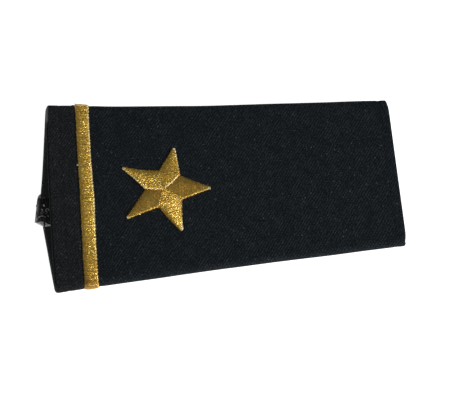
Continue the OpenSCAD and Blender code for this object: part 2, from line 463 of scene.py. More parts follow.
# Twill: ribs at this angle to the length of the board and this far apart, of yarn floats this long
TWILL_ANGLE = math.radians(56)
TWILL_PITCH = 0.69
YARN_PITCH = 0.31
# Which share of the cells holds lint, and the colours of lint and of painted shade on edges
LINT_SHARE = 0.009
LINT = (0.105, 0.118, 0.13)
PAINTED_SHADE = (0.004, 0.0045, 0.005)


def twill_material(name, shade, light, lint, fuzz_light, raw_and_lit_colour, wide_end=(1, 1, 1)):
    """Black wool twill: steep ribs of short yarn floats, with fuzz and a little lint.

    The tone attribute is 0.5 on the cloth. Above that the colour turns paler: a painted highlight on the
    sleeve's rim, painted light on the far side of the back's inner face, and on the allowance's end partly
    its raw edge and partly a painted highlight. Below 0.5 it turns to painted shade.
    wide_end is what the colour is multiplied by at that end.
    """
    material, tree, shader = new_material(name)
    place, along, round_it = pattern_place(tree)
    steep, flat = math.sin(TWILL_ANGLE), math.cos(TWILL_ANGLE)
    across = scaled(tree, round_it, -flat / TWILL_PITCH, times(tree, along, steep / TWILL_PITCH))
    across = calc(tree, "ADD", across, scaled(tree, noise(tree, place, 0.35), 0.7, -0.35))
    rib = humps(tree, across)
    rib_number = calc(tree, "FLOOR", across)
    down = scaled(tree, round_it, steep / YARN_PITCH, times(tree, along, flat / YARN_PITCH))
    down = scaled(tree, rib_number, 0.5, down)
    float_end = humps(tree, down)
    cell = add_node(tree, "ShaderNodeCombineXYZ", {"X": rib_number, "Y": calc(tree, "FLOOR", down)})
    yarn = add_node(tree, "ShaderNodeTexWhiteNoise", {"Vector": cell}, "Value", noise_dimensions="2D")
    fuzz = noise(tree, place, 4.5, 2.0, 0.8)
    height = times(tree, rib, scaled(tree, float_end, 0.4, 0.6))
    height = times(tree, height, scaled(tree, yarn, 0.5, 0.6))
    height = scaled(tree, fuzz, 0.6, height)

    floats = calc(tree, "POWER", rib, 3.0)
    for value, factor, base in (
        (float_end, 0.7, 0.3),
        (calc(tree, "POWER", yarn, 1.6), 1.9, 0.15),
        (ramp(tree, noise(tree, place, 0.28, 1.0), 0.3, 0.75), 0.7, 0.35),
        (ramp(tree, along, WIDE_X, 15), 0.35, 0.75),
    ):
        floats = times(tree, floats, scaled(tree, value, factor, base))
    grain = scaled(tree, noise(tree, place, 2.4, 1.0), 1.4, -0.69)
    bright = scaled(tree, fuzz, 1.4, scaled(tree, floats, 0.9, grain))
    bright = times(tree, bright, scaled(tree, noise(tree, place, 0.5, 3.0, 0.6), 0.06, 0.97))
    colour = blend(tree, ramp(tree, bright, 0.45, 1.40), shade, light)
    tinted = vector_calc(tree, "MULTIPLY", colour, wide_end)
    colour = blend(tree, ramp(tree, along, STRIPE_X - 2, STRIPE_X + 8), tinted, colour)
    picked = ramp(tree, lots(tree, place, 4)[1], 1 - LINT_SHARE, 1.0)
    colour = blend(tree, times(tree, picked, times(tree, fuzz, 1.5 * lint)), colour, LINT)
    tone = tone_value(tree)
    colour = blend(tree, ramp(tree, tone, 0.5, 1.0), colour, raw_and_lit_colour)
    colour = blend(tree, ramp(tree, tone, 0.0, 0.5), PAINTED_SHADE, colour)
    feed(shader, {
        "Base Color": colour, "Roughness": 0.75, "Specular IOR Level": 0.06, "Sheen Weight": fuzz_light,
        "Sheen Roughness": 0.3, "Normal": bump(tree, height, 0.06 * MM),
    })
    return material


# Glitter: facets for each metre, how far they tilt, which share of them shines and how smooth those are
GLITTER_SCALE = 4800
GLITTER_TILT = 0.32
MIRRORS = 0.22
MIRROR_ROUGHNESS = 0.235
# Colours of gold thread: painted shade where it dives into the cloth, and a painted highlight on lit
# shoulders, tips, folds and the loose loop
GOLD_HOLE_SHADE = (0.34, 0.182, 0.028)
GOLD_PAINTED_HIGHLIGHT = (0.92, 0.80, 0.46)


def gold_material(name, deep, bright, mirror, roughness, mirrors=MIRRORS):
    """Metallic embroidery thread: a film wound on a core, so that it glitters.

    The tone attribute is a thread's own tone from 0 to 1. Below 0 it turns to painted shade where a thread
    dives into the cloth, and above 1 to a pale, less metallic painted highlight.
    """
    material, tree, shader = new_material(name)
    _, along, around = pattern_place(tree)
    tone = tone_value(tree)
    spot = object_place(tree)
    facet, red, blue = lots(tree, spot, GLITTER_SCALE)
    mixed = scaled(tree, noise(tree, spot, 700), 0.4, times(tree, tone, 0.35))
    mixed = scaled(tree, red, 0.45, mixed)
    shiny = ramp(tree, blue, 1 - mirrors - 0.04, 1 - mirrors + 0.04)
    # pale is the share of painted highlight; below tone 0 the colour turns to painted shade
    pale = ramp(tree, tone, 1.0, 2.0)
    colour = blend(tree, ramp(tree, mixed, 0.2, 1.0), deep, bright)
    colour = blend(tree, shiny, colour, mirror)
    colour = blend(tree, ramp(tree, tone, -1.0, 0.0), GOLD_HOLE_SHADE, colour)
    film = humps(tree, calc(tree, "ADD", times(tree, along, 5.5), around))
    tilt = vector_calc(tree, "SUBTRACT", facet, (0.5, 0.5, 0.5))
    tilt = vector_calc(tree, "MULTIPLY", tilt, 3 * (GLITTER_TILT,))
    tilted = vector_calc(tree, "ADD", bump(tree, film, 0.02 * MM, 0.5), tilt)
    feed(shader, {
        "Base Color": blend(tree, pale, colour, GOLD_PAINTED_HIGHLIGHT),
        "Metallic": scaled(tree, pale, -0.75, 1.0),
        "Roughness": scaled(tree, shiny, MIRROR_ROUGHNESS - roughness, roughness),
        "Coat Weight": 0.4, "Coat Roughness": 0.22, "Normal": vector_calc(tree, "NORMALIZE", tilted),
    })
    return material


def plain_fibre_material(name, dark, light, roughness, level, grain=900, lift=0.05, painted_glint=None, fluff=0.0):
    """Thread, felt or non-woven: fibres of two tones, and a painted glint colour where the tone attribute is
    high.
    """
    material, tree, shader = new_material(name)
    fibres = noise(tree, object_place(tree), grain, 4.0, 0.7)
    colour = blend(tree, ramp(tree, fibres, 0.3, 0.7), dark, light)
    if painted_glint is not None:
        colour = blend(tree, ramp(tree, tone_value(tree), 0.5, 1.0), colour, painted_glint)
    feed(shader, {
        "Base Color": colour, "Roughness": roughness, "Specular IOR Level": level, "Sheen Weight": fluff,
        "Normal": bump(tree, fibres, lift * MM),
    })
    return material


# The grey that the tone turns to above 0.5: a painted highlight on the sleeve's rim and painted light on the
# far side of the back's inner face
TWILL_PAINTED_LIGHT = (0.14, 0.142, 0.142)
twill = twill_material(
    "twill", (0.0037, 0.0060, 0.0078), (0.0238, 0.0300, 0.0350), 1.0, 0.02, TWILL_PAINTED_LIGHT, (1.42, 1.16, 1.04))
# The back's inner face and the inner faces of the hems are lighter copies of the black twill: painted light
# for the light that reaches in at the mouths
twill_inside_painted_light = twill_material(
    "twill_inside_painted_light", (0.04, 0.041, 0.042), (0.09, 0.092, 0.094), 0.2, 0.25, TWILL_PAINTED_LIGHT)
twill_hem_painted_light = twill_material(
    "twill_hem_painted_light", (0.033, 0.035, 0.036), (0.095, 0.100, 0.101), 0.2, 0.1, TWILL_PAINTED_LIGHT)
# The allowance's paler end colour is partly its raw edge and partly a painted highlight on its rim
seam_cloth = twill_material(
    "seam_cloth", (0.020, 0.023, 0.0185), (0.056, 0.062, 0.052), 0.3, 0.15, (0.32, 0.33, 0.305))
# The hem thread is darker than the cloth: partly its own colour, partly painted shade of its groove
hem_thread = plain_fibre_material(
    "hem_thread", (0.005, 0.007, 0.009), (0.014, 0.018, 0.021), 0.6, 0.1)
black_thread = plain_fibre_material(
    "black_thread", (0.012, 0.012, 0.012), (0.04, 0.04, 0.04), 0.35, 0.5, painted_glint=(0.92, 0.94, 0.92))
lining = plain_fibre_material(
    "interlining", (0.78, 0.78, 0.80), (0.97, 0.97, 0.98), 0.9, 0.2, 1400, 0.12, fluff=0.6)
gold = gold_material(
    "gold_thread", (0.64, 0.345, 0.035), (0.80, 0.50, 0.07), (0.97, 0.78, 0.24), 0.42)
gold_calm = gold_material(
    "gold_thread_calm", (0.65, 0.37, 0.055), (0.87, 0.55, 0.09), (0.95, 0.79, 0.32), 0.42, mirrors=0.08)
gold_under = gold_material(
    "gold_underlay", (0.32, 0.16, 0.02), (0.44, 0.24, 0.04), (0.5, 0.35, 0.1), 0.5)


# Sleeve

def stations():
    """Where the sleeve has a row along the board: close together at hems, stitching and stripe edges."""
    places = list(np.linspace(WIDE_X, NARROW_X, 132)[1:-1])
    for marks, offsets in (
        ((WIDE_STITCH_X, NARROW_STITCH_X), np.linspace(-1.0, 1.0, 13)),
        ((WIDE_X + HEM_LEN, NARROW_X - HEM_LEN), (-HEM_STEP / 2, HEM_STEP / 2)),
        ((STRIPE_X, STRIPE_END), np.linspace(-0.9, 0.9, 5)),
    ):
        places += [mark + offset for mark in marks for offset in offsets]
    places = sorted(p for p in places if WIDE_X + RIM_R + 0.2 < p < NARROW_X - RIM_R - 0.2)
    kept = places[:1]
    for place in places[1:]:
        if place - kept[-1] > 0.1:
            kept.append(place)
    return np.array(kept)


RIM_ANGLES = np.radians([0, 15, 30, 45, 60, 75, 90])
# Changes of the tone: a painted highlight on the far corner of the wide rim and painted shade on the rest of
# the front's rim, darker along the near fold, painted light on the far and painted shade on the near side of
# the back's inner face, and paler at the narrow hem
RIM_HIGHLIGHT = 0.5
RIM_SHADE = 0.45
NEAR_FOLD_DARK = 0.12
BACK_SIDE_LIGHT = 0.05
NARROW_HEM_PALE = 0.007


def make_sleeve():
    """The whole cloth as one closed wall: outer skin, rolled rims and inner skin."""
    rim_x = RIM_R * (1 - np.cos(RIM_ANGLES))
    rim_in = RIM_R * (1 - np.sin(RIM_ANGLES))
    body = stations()
    x = np.concatenate([WIDE_X + rim_x, body, (NARROW_X - rim_x)[::-1]])
    inset = np.concatenate([rim_in, 0 * body, rim_in[::-1]])
    outer, _, s = skin_rows(x, inset=inset)
    inner, _, _ = skin_rows(x, inner=True, inset=inset)
    points = np.concatenate([outer, inner[::-1]])[:, :-1]
    place_x = np.concatenate([x, x[::-1] + 0.3])
    place_s = np.concatenate([s, s[::-1]])
    uv = np.stack([place_x[:, None] + 0 * place_s, place_s], -1)
    uv = np.concatenate([uv, uv[:1]])

    row_x = np.concatenate([x, x[::-1]])[:, None]
    row_s = place_s[:, :-1]
    inside = np.arange(len(row_x))[:, None] >= len(x)
    far_run = run_at(WIDE_X, 1)
    fold_s = far_run[FRONT_STEPS]
    front = np.abs(row_s) < fold_s
    at_rim = held((0.7 - (row_x - WIDE_X)) / 0.35)
    painted_highlight = held((row_s - fold_s + 5.6) / 2.4) * (row_s < far_run[FOLD_END])
    near_fold = bump_at(row_s, -fold_s - 1.5, 1.3)
    # Painted highlight and painted shade on the wide rim, painted light and shade on the back's inner face
    tone = 0.5 + at_rim * (RIM_HIGHLIGHT * painted_highlight - RIM_SHADE * front * (1 - painted_highlight))
    tone = tone - NEAR_FOLD_DARK * near_fold * (1 - at_rim)
    tone = tone + BACK_SIDE_LIGHT * np.sign(row_s) * (inside & ~front)
    tone = tone + NARROW_HEM_PALE * held((row_x - NARROW_STITCH_X) / 0.3)

    skins = Skins()
    skins.grid(points, uv, ring=True, loop=True, tone=tone)
    hem = np.minimum(row_x - WIDE_X, NARROW_X - row_x) < HEM_LEN
    skins.slots = [np.where(inside, np.where(hem, np.where(front, 0, 2), 1), 0).ravel()]
    return skins.build("sleeve_cloth", [twill, twill_inside_painted_light, twill_hem_painted_light])


def make_hem_stitches():
    """Both lines of topstitching, each a ring of single stitches sunk in its groove."""
    skins = Skins()
    rng = np.random.default_rng(11)
    share = np.linspace(-1, 1, 9)
    for line_x in (WIDE_STITCH_X, NARROW_STITCH_X):
        reach = float(skin_rows(line_x)[2][0, -1])
        count = round(2 * reach / (STITCH_LEN + STITCH_GAP))
        pitch = 2 * reach / count
        for i in range(count):
            s = -reach + i * pitch + np.linspace(0, pitch - STITCH_GAP, 9)
            x = line_x + 0.05 * rng.standard_normal() + 0.04 * share * rng.standard_normal()
            path, up = on_cloth(x, s, -0.2 * share ** 6)
            thread(skins, path, up, *HEM_THREAD, ply=0.12, phase=i)
    return skins.build("hem_stitches", [hem_thread])


# Inside the centre-back seam

allowance_low, allowance_high = box_mm("seam_allowance")
lining_low, lining_high = box_mm("interlining_edge")
LAYER_GAP = 0.1
# Towards the wide mouth the allowance's near edge moves in, and its near corner sticks out further
NEAR_IN = 1.25
END_LEAN = 1.15


def drawn_in(x, x_from, reach=4.3):
    """0 to 1: how much of the move of a layer's near edge there is at x, all of it at the wide end."""
    share = held((reach - (x - x_from)) / 2.4)
    return share * share * (3 - 2 * share)


def wobble(x, seed, size):
    """A slow, repeatable waver along x."""
    waves = ((1.0, 0.9, 1.0), (0.6, 2.3, 2.1), (0.4, 5.1, 3.3))
    return size / 2 * sum(high * np.sin(turn * x + shift * seed) for high, turn, shift in waves)


def back_level(x):
    """Height of the lowest layer on the back along the seam: higher over the hems at both ends."""
    reach = HEM_LEN + HEM_STEP + SLANT * REST_HALF
    wide = sleeve_low[0] + reach
    narrow = allowance_high[0] - reach
    over_hem = held(wide + 1 - x) + held(x - narrow + 1)
    return BACK_T + LAYER_GAP + HEM_T * over_hem


def pressed_layer(
    skins, x_from, x_to, y_from, y_to, above, thick, seed, step=0.5, sides=20,
    near_in=0.0, far_in=0.0, end_lean=0.0, rounded=0.9, reach=4.3,
):
    """A pressed layer of cloth with rounded long edges, this far above the lowest one.

    Over its first reach millimetres the near and far edges move up by near_in and far_in, and the end's near
    corner sticks out end_lean further than its far corner. rounded is how much its end narrows.
    """
    inner = np.arange(x_from, x_to, step)[1:]
    x = np.concatenate([[x_from, x_from + 0.06, x_from + 0.2], inner, [x_to - 0.2, x_to - 0.06, x_to]])
    x = np.unique(np.round(x, 3))
    end = held(np.minimum(x - x_from, x_to - x) / (0.5 * thick))
    half_t = 0.5 * thick * (0.15 + 0.85 * dome(1 - end, 2))[:, None]
    turn = np.linspace(0, 2 * np.pi, sides, endpoint=False)
    c, d = np.cos(turn), np.sin(turn)
    rounding = rounded * held(1 - (x - x_from) / 1.1) ** 2
    moved = drawn_in(x, x_from, reach)
    low = (y_from + wobble(x, seed, 0.12) + near_in * moved + rounding)[:, None]
    high = (y_to + wobble(x, seed + 4, 0.12) + far_in * moved - 0.5 * rounding)[:, None]
    half_y = (high - low) / 2
    y = (low + high) / 2 + np.sign(c) * (half_y - half_t * (1 - np.abs(c) ** 0.6 * (np.abs(c) > 0.05)))
    level = back_level(x) + above + 0.5 * thick + wobble(x, seed + 7, 0.03)
    z = level[:, None] + half_t * np.sign(d) * np.abs(d) ** 0.6
    near_end = held(1 - (x - x_from) / 9)[:, None]
    lean = end_lean * (0.5 - (y - y.min()) / np.ptp(y)) * near_end ** 2
    points = np.stack([x[:, None] - lean, y, z], -1)
    round_it = np.hypot(np.diff(y, axis=1), np.diff(z, axis=1))
    across = np.pad(np.cumsum(round_it, 1), ((0, 0), (1, 1)), mode="edge")
    across[:, 0] = 0
    uv = np.stack([x[:, None] + 0 * across, across], -1)
    # The end is paler over its last 0.65 mm: partly a raw edge, partly a painted highlight on its rim
    raw = 0.5 + 0.5 * held((0.65 - (x - x_from)) / 0.3)[:, None] + 0 * y
    skins.grid(points, uv, ring=True, caps=True, tone=raw)


def make_allowance():
    """The allowance: two long pressed layers, and a third one at each end where it is folded back."""
    skins = Skins()
    x0, y0 = allowance_low[0] + 0.1, allowance_low[1]
    x1, y1 = allowance_high[:2]
    wide = {"near_in": NEAR_IN, "far_in": -0.3, "end_lean": END_LEAN, "rounded": -0.35}
    for x_from, x_to, near, far, above, thick, seed, shape in (
        (x0 + 0.35, x1, 0.1, 0.1, 0.0, 0.55, 1, wide),
        (x0, x1, 0.0, 0.25, 0.5, 0.6, 2, wide),
        (x0 + 0.1, x0 + 7.2, 0.3, 0.4, 1.05, 0.65, 3, wide),
        (x1 - 6.4, x1 - 0.1, 0.3, 0.4, 1.05, 0.6, 5, {}),
    ):
        pressed_layer(skins, x_from, x_to, y0 + near, y1 - far, above, thick, seed, **shape)
    return skins.build("allowance_cloth", [seam_cloth])


OVERLOCK_PITCH = 1.5
OVERLOCK_DEPTH = 2.7
# How high the overlock thread lies and how far down it goes, on two layers of the allowance and on three
TWO_LAYERS = (1.15, 1.0)
THREE_LAYERS = (1.72, 1.5)


def make_overlock():
    """Overlock stitches over both long edges of the allowance, and tangled ends in the wide mouth."""
    skins = Skins()
    rng = np.random.default_rng(5)
    x0, x1 = allowance_low[0] + 0.3, allowance_high[0] - 0.6
    for row, inward in ((allowance_low[1], 1), (allowance_high[1] - 0.2, -1)):
        for x in np.arange(x0, x1, OVERLOCK_PITCH):
            edge = row + (NEAR_IN * drawn_in(x, allowance_low[0]) + 0.1 if inward > 0 else 0.0)
            high, deep = THREE_LAYERS if x < x0 + 6.6 or x > x1 - 6.0 else TWO_LAYERS
            top = back_level(x) + high
            bottom = top - deep
            middle = (top + bottom) / 2
            jitter = 0.12 * rng.standard_normal(4)
            turns = np.array([
                (0.0, OVERLOCK_DEPTH, top + 0.02),
                (0.35 + jitter[0], 1.4, top + 0.12),
                (0.55 + jitter[1], 0.25, top + 0.06),
                (0.7, -0.06, middle),
                (0.8, 0.3, bottom),
                (1.0 + jitter[2], -0.04, middle + 0.1),
                (1.1, 0.3, top + 0.1),
                (1.25 + jitter[3], 1.5, top + 0.14),
                (OVERLOCK_PITCH, OVERLOCK_DEPTH, top + 0.04),
            ])
            path = smooth_path(turns * (1, inward, 1) + (x, edge, 0), 26)
            thread(skins, path, UP, *OVERLOCK_THREAD, sides=7, ply=0.15, phase=rng.uniform(0, 6))
    add_tangle(skins)
    return skins.build("overlock_thread", [black_thread])


# The run-off of the overlock stitches in the wide mouth: tone (how much painted glint it has) and half width
# of each thread, and its points from the allowance's wide end and the top of its three layers
TANGLE = [
    (0.72, 0.13, [(0.1, -4.25, -0.1), (0.7, -3.75, 0.12), (1.4, -3.35, 0.17), (2.1, -3.3, 0.15),
                  (2.9, -3.7, 0.05)]),
    (1.0, 0.25, [(2.45, 0.05, 0.02), (2.5, -0.2, 0.25), (2.6, -0.5, 0.02)]),
    (0.85, 0.17, [(1.85, -1.25, 0.02), (2.0, -1.45, 0.22), (2.15, -1.65, 0.02)]),
    (0.9, 0.16, [(3.4, -3.25, 0.02), (3.5, -3.4, 0.22), (3.6, -3.55, 0.02)]),
    (0.85, 0.24, [(1.6, 4.0, -2.1), (1.35, 3.4, -1.8), (1.15, 2.8, -1.4), (1.0, 2.2, -1.0)]),
    (0.8, 0.2, [(1.5, 3.6, -1.9), (1.3, 3.0, -1.6), (1.35, 2.6, -1.3), (1.2, 2.1, -1.0)]),
    (0.8, 0.16, [(1.25, 3.7, -1.9), (1.0, 3.1, -1.5), (0.9, 2.5, -1.1), (0.85, 2.1, -0.9)]),
    (0.1, 0.22, [(2.3, -4.9, 0.0), (2.32, -5.35, -0.2), (2.32, -5.9, -0.4), (2.35, -6.4, -0.5),
                 (2.4, -6.8, -1.1)]),
    (0.62, 0.1, [(3.9, -1.7, 0.05), (4.2, -1.95, 0.2), (4.6, -2.0, 0.15), (4.8, -2.4, 0.05)]),
    (0.6, 0.1, [(2.6, -2.6, 0.05), (3.0, -2.75, 0.2), (3.4, -2.6, 0.15)]),
]
# Tone (how much painted glint it has) and half width of each open loop, its middle, and how far it reaches
# along and across
TANGLE_LOOPS = [(0.75, 0.11, 3.35, -1.75, 0.42, 0.48), (0.68, 0.1, 2.0, -2.35, 0.42, 0.32)]


def add_tangle(skins):
    """Adds the threads and the loops of the run-off."""
    corner = (allowance_low[0], 0, BACK_T + LAYER_GAP + HEM_T + THREE_LAYERS[0])
    for tone, half, points in TANGLE:
        path = smooth_path(np.array(points) + corner, 16)
        thread(skins, path, UP, half, 0.8 * half, ply=0.12, tone=tone)
    around = np.linspace(-0.3, 4.9, 22)
    for tone, half, x, y, wide, tall in TANGLE_LOOPS:
        loop = np.stack([x + wide * np.cos(around), y + tall * np.sin(around), 0.1 + 0.02 * around], -1)
        thread(skins, loop + corner, UP, half, half, ply=0.12, tone=tone)


def smooth_path(points, count):
    """A Catmull-Rom curve through the points."""
    points = np.asarray(points, float)
    padded = np.concatenate([[2 * points[0] - points[1]], points, [2 * points[-1] - points[-2]]])
    at = np.linspace(0, len(points) - 1, count)
    i = np.minimum(at.astype(int), len(points) - 2)
    t = (at - i)[:, None]
    a, b, c, d = (padded[i + k] for k in range(4))
    bent = (2 * a - 5 * b + 4 * c - d) * t ** 2 + (3 * b - a - 3 * c + d) * t ** 3
    return 0.5 * (2 * b + (c - a) * t + bent)


def make_lining():
    """The pale raw edge of the interlining, with frayed fibres."""
    skins = Skins()
    x0, x1 = lining_low[0], lining_high[0]
    y0, y1 = lining_low[1], lining_high[1] + 0.15
    pressed_layer(
        skins, x0 + 0.5, x1, y0, y1, 0.0, 0.95, 9, step=0.35, sides=14,
        near_in=NEAR_IN - 0.15, far_in=NEAR_IN, end_lean=-2.2, reach=7.5,
    )
    rng = np.random.default_rng(3)
    for x in rng.uniform(x0 + 9, x1 - 0.5, 130):
        z = back_level(x) + rng.uniform(0.15, 0.85)
        out = rng.uniform(0.2, 0.55)
        lean = rng.uniform(-0.4, 0.4)
        path = np.array([(0, 0.3, 0), (0.5 * lean, -0.5 * out, 0.05), (lean, -out, -0.1)]) + (x, y0, z)
        path[:, 1] = np.maximum(path[:, 1], y0 - 0.5)
        thread(skins, smooth_path(path, 7), UP, *FRAYED_THREAD, sides=5)
    return skins.build("interlining_strip", [lining])


# Embroidery

HOLE_PITCH = 0.22
# Threads bunch together in beads along the edge that they are pulled towards
BEAD_PITCH = 0.95
BEAD_OUT = 0.07
THREAD_HALF_W = 0.17
THREAD_HALF_H = 0.09
THREAD_STEP = 0.15
SHORTEST_STITCH = 0.35
SINK = 0.2
# A shoulder is the end of a stitch, this long, where it slopes down before it drops
SHOULDER = 0.4
# Where a thread dives into the cloth its colour gets painted shade over this length and by this much.
# Towards an edge with a shoulder it does so over this part of the length, and the shoulder gets a painted
# highlight this pale.
HOLE_SHADE_LENGTH = 0.5
HOLE_SHADE_TONE = 1.6
SHOULDER_SHADE_SHARE = 0.35
EDGE_HIGHLIGHT = 1.4


def satin(skins, place, holes, crown, rng, power, leans, slopes, ends, painted_light, fades=(1.0, 1.0)):
    """Stitches side by side between two rows of needle holes.

    place turns two rows of coordinates and a lift into places and normals, and crown gives the height over a
    stitch of a middle and a length. Towards each row, power says how square the crown is, leans how steep it
    is all the way and slopes how much steeper its shoulder is, in degrees. ends gives the height at the
    holes, fades how much of that lean and shoulder a stitch has, and the painted-light values how much
    painted highlight a stitch gets, or painted shade where they are below 0.
    """
    lean_a, lean_b = np.tan(np.radians(leans))
    slope_a, slope_b = np.tan(np.radians(slopes))
    shade_a, shade_b = (HOLE_SHADE_LENGTH if slope == 0 else HOLE_SHADE_LENGTH * SHOULDER_SHADE_SHARE for slope in slopes)
    stitches = np.broadcast(*ends, painted_light, *fades)
    for start, stop, (end_a, end_b, pale, fade_a, fade_b) in zip(*holes, stitches):
        length = float(np.linalg.norm(stop - start))
        if length < SHORTEST_STITCH:
            continue
        even = np.linspace(0, 1, max(10, int(length / THREAD_STEP) + 6))
        q = 0.45 * (0.5 - 0.5 * np.cos(np.pi * even)) + 0.55 * even
        v = 2 * q - 1
        bend = rng.normal(0, 0.04) * np.sin(np.pi * q) + 0.02 * np.sin(2 * np.pi * q + rng.uniform(0, 6))
        sideways = np.array([start[1] - stop[1], stop[0] - start[0]]) / length
        plan = start + (stop - start) * q[:, None] + sideways * bend[:, None]
        height = crown((start + stop) / 2, length) + rng.normal(0, 0.01)
        to_hole = (1 - np.abs(v)) * length / 2
        fade = np.where(v < 0, fade_a, fade_b)
        slope = np.where(v < 0, slope_a, slope_b) * fade
        drop = np.where(v < 0, lean_a, lean_b) * fade * np.abs(v) * length / 2
        drop = drop + slope * np.maximum(0, SHOULDER - to_hole)
        base = end_a + (end_b - end_a) * q
        lift = base + (height - np.minimum(drop, 0.6 * height) - base) * dome(v, np.where(v < 0, *power))

        # Painted shade where a thread dives into the cloth, a painted highlight on a lit shoulder, and the
        # stitch's own painted highlight or shade
        hole_shade = held(1 - to_hole / np.where(v < 0, shade_a, shade_b)) ** 1.5
        painted_highlight = EDGE_HIGHLIGHT * held(1.5 - 3 * np.abs(to_hole / SHOULDER - 0.5))
        tone = rng.uniform(0, 1) - HOLE_SHADE_TONE * hole_shade
        tone = tone + painted_highlight * fade * np.minimum(1, slope / math.tan(math.radians(5)))
        tone = tone + pale * held(to_hole / 0.1)
        path, up = place(plan[:, 0], plan[:, 1], lift)
        thread(
            skins, path, up, THREAD_HALF_W * rng.uniform(0.92, 1.08), THREAD_HALF_H, ply=0.06,
            ply_pitch=1.15 * rng.uniform(0.85, 1.2), phase=rng.uniform(0, 6.3), tone=tone[:, None],
        )


def add_padding(skins, place, first, second, lift, depth, run):
    """Adds the padding under stitches: its top is lift above the cloth and its foot is depth below it."""
    sheets = [place(first, second, height)[0].reshape(*first.shape, 3) for height in (lift, -depth)]
    ring = np.concatenate([sheets[0], sheets[1][:, ::-1]], 1)
    uv = np.stack(np.meshgrid(np.linspace(0, 8, ring.shape[1] + 1), run), -1)
    skins.grid(ring, uv, ring=True, caps=True, slot=1)


# How far aside a stitch of the stripe is at either edge
STITCH_ASIDE = 0.175
# Points of the loose loop: along from the stripe's edge, aside and up
LOOP = np.array([(0.3, -0.15, 0.5), (0.0, -0.1, 0.62), (-0.1, 0.0, 0.55), (0.0, 0.1, 0.5), (0.3, 0.15, 0.4)])


def stripe_lean(s):
    """How far the stripe's threads lie off a straight line, at the distance s from the board's middle."""
    return STRIPE_LEAN * np.clip(s / NARROW_W * 1.6, -1, 1) + STRIPE_SET_IN + STRIPE_BOW * bump_at(s, -1, 10)


def make_stripe():
    """The stripe: satin stitches across a padded bar that wraps over both folds."""
    skins = Skins()
    rng = np.random.default_rng(21)
    x_mid = (STRIPE_X + STRIPE_END) / 2
    near_run, far_run = run_at(x_mid, -1), run_at(x_mid, 1)
    near_fold, far_fold = -near_run[FRONT_STEPS], far_run[FRONT_STEPS]
    s_from = -near_run[FOLD_END] - STRIPE_TURN
    s_to = far_run[FOLD_END] + STRIPE_TURN
    s = np.linspace(s_from, s_to, int((s_to - s_from) / HOLE_PITCH) + 1)
    widened = 0.13 * bump_at(s, -2, 6) - 0.05 * np.clip(s / 8, -1, 1)
    beads = BEAD_OUT * np.cos(2 * np.pi * s / BEAD_PITCH)
    holes = []
    for edge, aside in ((STRIPE_X + 0 * s, STITCH_ASIDE), (STRIPE_END + widened + beads, -STITCH_ASIDE)):
        holes.append(np.stack([edge + stripe_lean(s) + rng.normal(0, 0.03, len(s)), s + aside], 1))

    def height_at(s):
        end = np.clip(np.minimum(s - s_from, s_to - s), 0, None)
        turned = held((end - STRIPE_TURN - 2) / 4)
        return (0.34 + (STRIPE_T - 0.46) * turned) * (0.4 + 0.6 * held(end / 0.8) ** 0.5)

    loose = bump_at(s, far_fold + 1.6, 0.9)
    ends = (-SINK + (0.6 + SINK) * loose, -SINK)
    # Painted highlights where the stripe goes over both folds, and painted shade that darkens it towards and
    # round the near fold
    painted_light = 0.9 * (bump_at(s, near_fold - 3.0, 0.5) + bump_at(s, far_fold + 1.3, 0.6))
    near_fold_shade = 0.3 * held((-8 - s) / 5) + 0.5 * held((-17 - s) / 6)
    painted_light = painted_light - (near_fold_shade + 0.8 * held(near_fold - s + 0.2)) * (s > near_fold - 2.6)
    satin(
        skins, on_cloth, holes, lambda middle, length: height_at(middle[1]), rng,
        (4.6, 28), (0, 3), (0, 10), ends, painted_light,
    )
    # The loose loop is in the pale tone of the painted highlight
    path, up = on_cloth(STRIPE_X + LOOP[:, 0], LOOP_AT + LOOP[:, 1], LOOP[:, 2])
    thread(skins, smooth_path(path, 16), up[:1], 0.1, 0.1, tone=1.7)

    across = np.linspace(-1, 1, 15)
    under_s = np.linspace(s_from + 0.4, s_to - 0.4, 180)
    lift = np.maximum(height_at(under_s) - 0.2, 0.05)[:, None] * dome(across, 3) - 0.05
    grid_x, grid_s = np.meshgrid(x_mid + (STRIPE_W / 2 - 0.18) * across, under_s)
    add_padding(skins, on_cloth, grid_x + stripe_lean(grid_s), grid_s, lift, 0.15, under_s)
    return skins.build("stripe_satin", [gold, gold_under])


# Each ray of the star: how far out its tip is and where it points, and the same of the notch after it.
# Towards its two edges: how square, leaning and steep its stitches are, whether they stay so on a neighbour,
# how far it reaches over its neighbours, how high its threads end beside them, and how hollow the edges are.
# Last: whether it is of the calmer thread.
RAY_KEYS = (
    "tip_r", "tip_at", "notch_r", "notch_at",
    "power", "leans", "slopes", "crease", "lap", "joint", "hollow", "calm",
)
RAYS = [dict(zip(RAY_KEYS, row)) for row in (
    (12.6, -2.2, 6.15, 39.1, (30, 2.4), (0, 0), (2, 0), (0, 0), (0, 0), (0.5, 0.5), (0, 0.12), True),
    (12.3, 73.1, 5.84, 100.5, (15, 3), (3, 0), (22, 0), (1, 0), (0.4, 0.2), (0.8, 1), (0, 0), False),
    (12.85, 146, 5.2, 175, (3, 24), (0, 4), (0, 8), (0, 1), (0.2, 0.4), (1, 0.8), (0.35, 0.1), False),
    (12.8, 215.5, 5.48, 252.6, (2.4, 30), (0, 1), (0, 1.2), (0, 0), (0, 0), (0.5, 0.5), (0, 0), True),
    (12.8, 288, 5.9, 323, (3.2, 16), (0, 1), (0, 6), (0, 0), (0.5, 0.4), (0.8, 0.8), (-0.25, 0.12), False),
)]
TIP_HALF = 0.4
# A ray whose threads end level with a neighbour is this much higher at its foot
RAISED = 0.28


def star_place(x, y, lift):
    """Places and normals over the front, at x and y from the star's centre."""
    return on_cloth(WIDE_X + STAR_IN + x, y - STAR_OFFSET, lift)


def direction(degrees):
    """Cosine and sine of an angle."""
    angle = math.radians(degrees)
    return np.array([math.cos(angle), math.sin(angle)])


